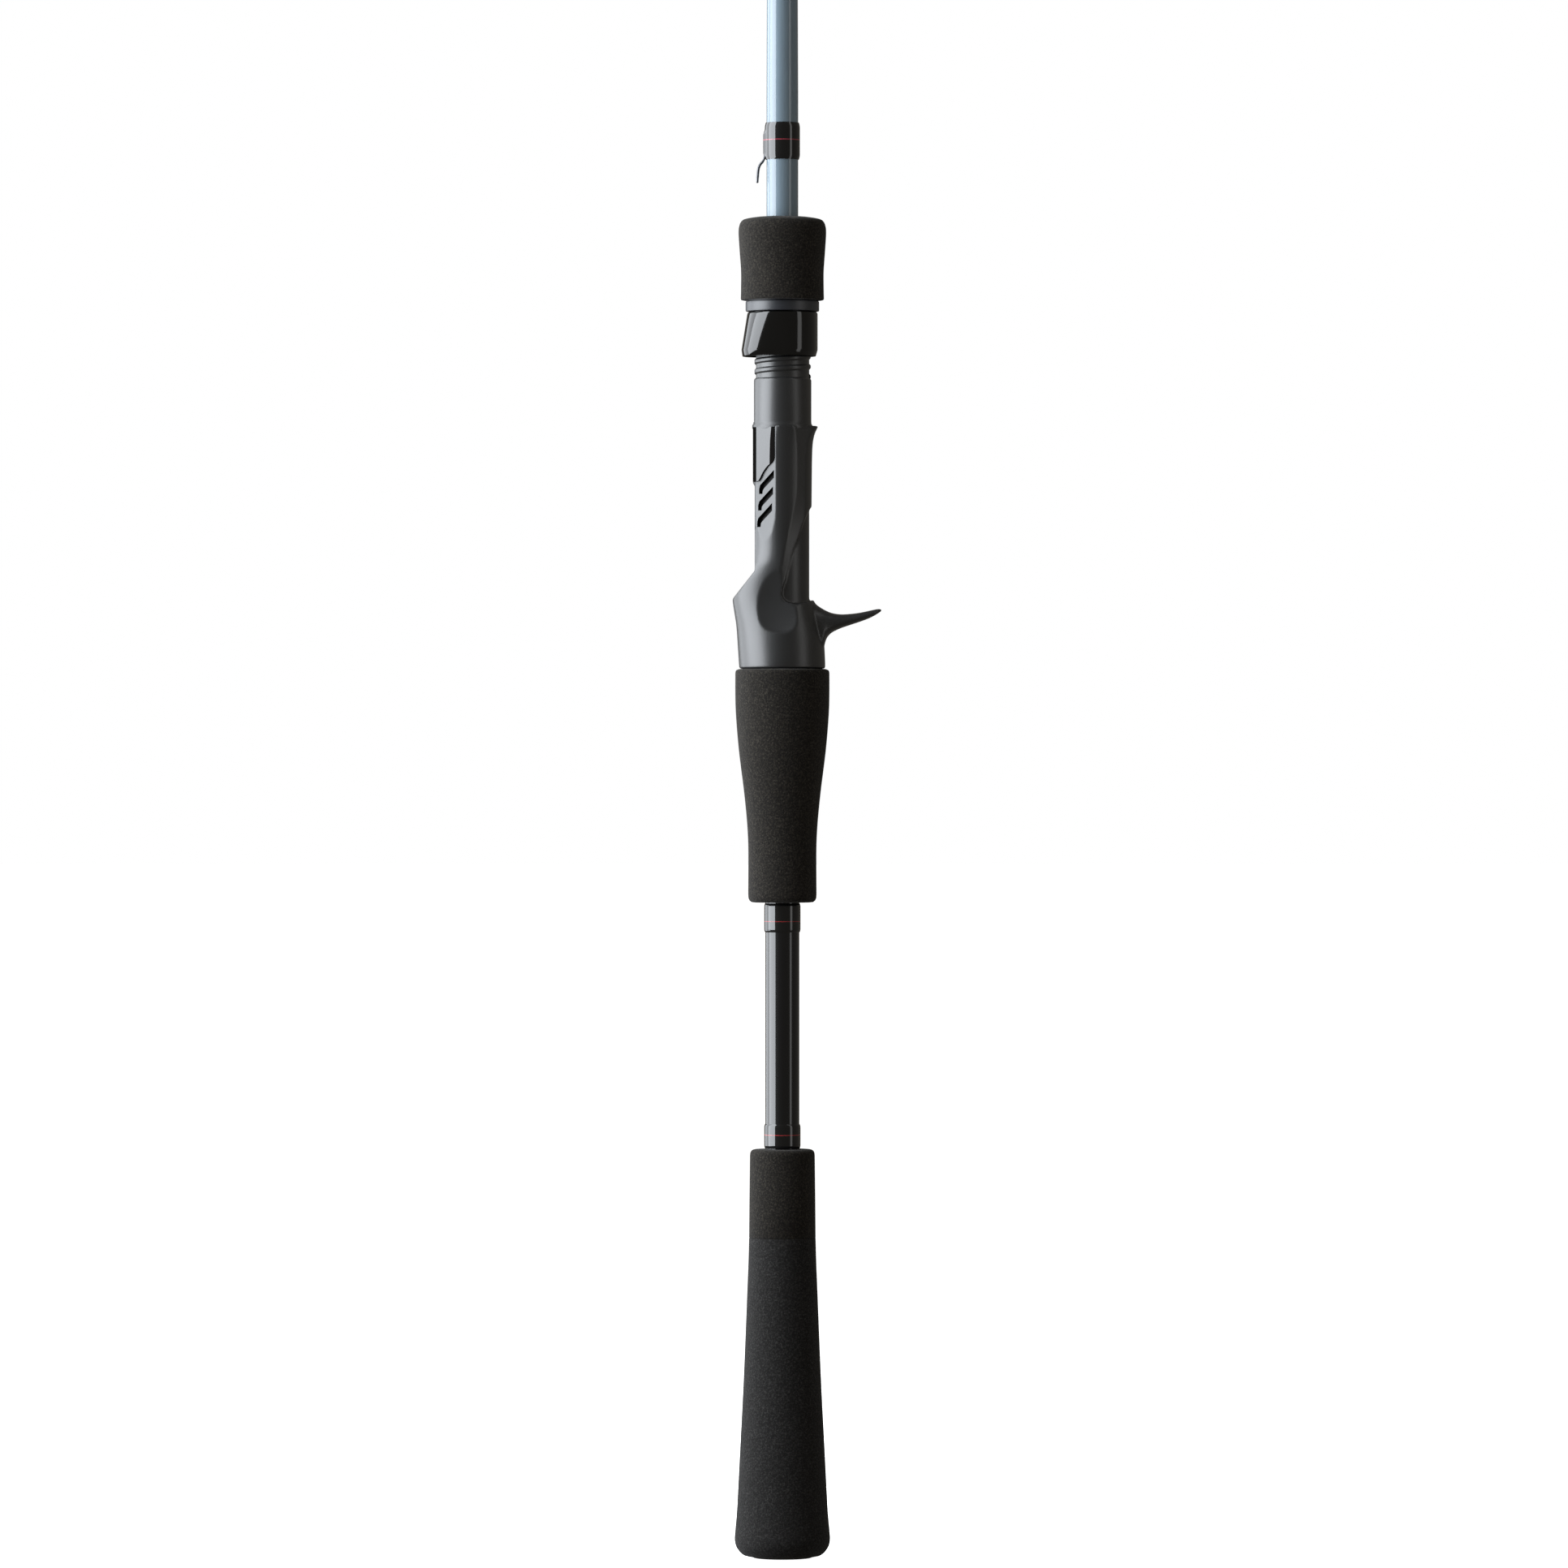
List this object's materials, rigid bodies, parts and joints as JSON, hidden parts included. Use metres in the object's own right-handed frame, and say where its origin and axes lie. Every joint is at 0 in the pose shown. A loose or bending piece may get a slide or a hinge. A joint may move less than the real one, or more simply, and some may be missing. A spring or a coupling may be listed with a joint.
{
  "type": "casting rod",
  "caption": "Two-hand fishing rod with trigger reel seat, sliding hood and lock nut, foam grips, hook keeper and line guides.",
  "frame": {"origin": "centre of the butt's flat end face", "axes": "+Z along the rod from the butt to the tip; +X to the side the trigger points; -X the side the reel, hook keeper and guides sit on"},
  "size_m": [0.0606, 0.0354, 1.8299],
  "materials": {
    "blank_lacquer": "clear-coated steel-blue lacquer over rolled carbon fibre",
    "tube_lacquer": "clear-coated black lacquer over rolled carbon fibre",
    "raw_carbon": "ground carbon fibre",
    "butt_rubber": "moulded black rubber",
    "eva_butt": "sanded closed-cell EVA foam",
    "eva_collar": "sanded closed-cell EVA foam",
    "eva_rear": "sanded closed-cell EVA foam",
    "eva_fore": "sanded closed-cell EVA foam",
    "wrap_epoxy": "black winding thread under clear epoxy",
    "arbor_foam": "rigid glass-filled urethane foam",
    "seat_graphite": "satin graphite coating on moulded nylon",
    "gloss_black": "gloss black plastic",
    "hood_black": "gloss black coated stainless steel",
    "liner_plastic": "moulded nylon",
    "nut_plastic": "satin blue-grey moulded nylon",
    "steel_wire": "polished stainless wire",
    "frame_steel": "smoke-plated stamped stainless steel",
    "ring_ceramic": "polished dark ceramic"
  },
  "bodies": {
    "rod": {"blank": "blank_lacquer", "handle_tube": "tube_lacquer", "spigot": "raw_carbon", "butt_cap": "butt_rubber", "butt_grip": "eva_butt", "butt_collar": "eva_collar", "lower_trim_wrap": "wrap_epoxy", "upper_trim_wrap": "wrap_epoxy", "rear_grip": "eva_rear", "arbor_rear": "arbor_foam", "arbor_middle": "arbor_foam", "arbor_front": "arbor_foam", "seat_body": "seat_graphite", "seat_insert": "gloss_black", "hook_keeper": "steel_wire", "keeper_wrap": "wrap_epoxy", "guide_1_wrap_front": "wrap_epoxy", "guide_1_wrap_rear": "wrap_epoxy", "guide_1_frame": "frame_steel", "guide_1_ring": "ring_ceramic", "guide_2_wrap_front": "wrap_epoxy", "guide_2_wrap_rear": "wrap_epoxy", "guide_2_frame": "frame_steel", "guide_2_ring": "ring_ceramic", "guide_3_wrap": "wrap_epoxy", "guide_3_frame": "frame_steel", "guide_3_ring": "ring_ceramic", "guide_4_wrap": "wrap_epoxy", "guide_4_frame": "frame_steel", "guide_4_ring": "ring_ceramic", "guide_5_wrap": "wrap_epoxy", "guide_5_frame": "frame_steel", "guide_5_ring": "ring_ceramic", "guide_6_wrap": "wrap_epoxy", "guide_6_frame": "frame_steel", "guide_6_ring": "ring_ceramic", "guide_7_wrap": "wrap_epoxy", "guide_7_frame": "frame_steel", "guide_7_ring": "ring_ceramic", "guide_8_wrap": "wrap_epoxy", "guide_8_frame": "frame_steel", "guide_8_ring": "ring_ceramic", "tip_top_frame": "frame_steel", "tip_top_ring": "ring_ceramic", "tip_top_wrap": "wrap_epoxy"},
    "hood": {"moving_hood": "hood_black", "hood_liner": "liner_plastic"},
    "nut": {"lock_nut": "nut_plastic", "foregrip": "eva_fore"}
  },
  "joints": [
    {"name": "hood_slide", "type": "slide", "parent": "rod", "child": "hood", "axis": [0, 0, -1], "range_m": [-0.003, 0.024]},
    {"name": "nut_spin", "type": "hinge", "parent": "hood", "child": "nut", "pos_m": [0, 0, 0.47], "axis": [0, 0, -1], "range_deg": [-300, 2345]}
  ],
  "couplings": [
    {"joint": "nut_spin", "follows": "hood_slide", "rad_per_m": 1698.2}
  ]
}
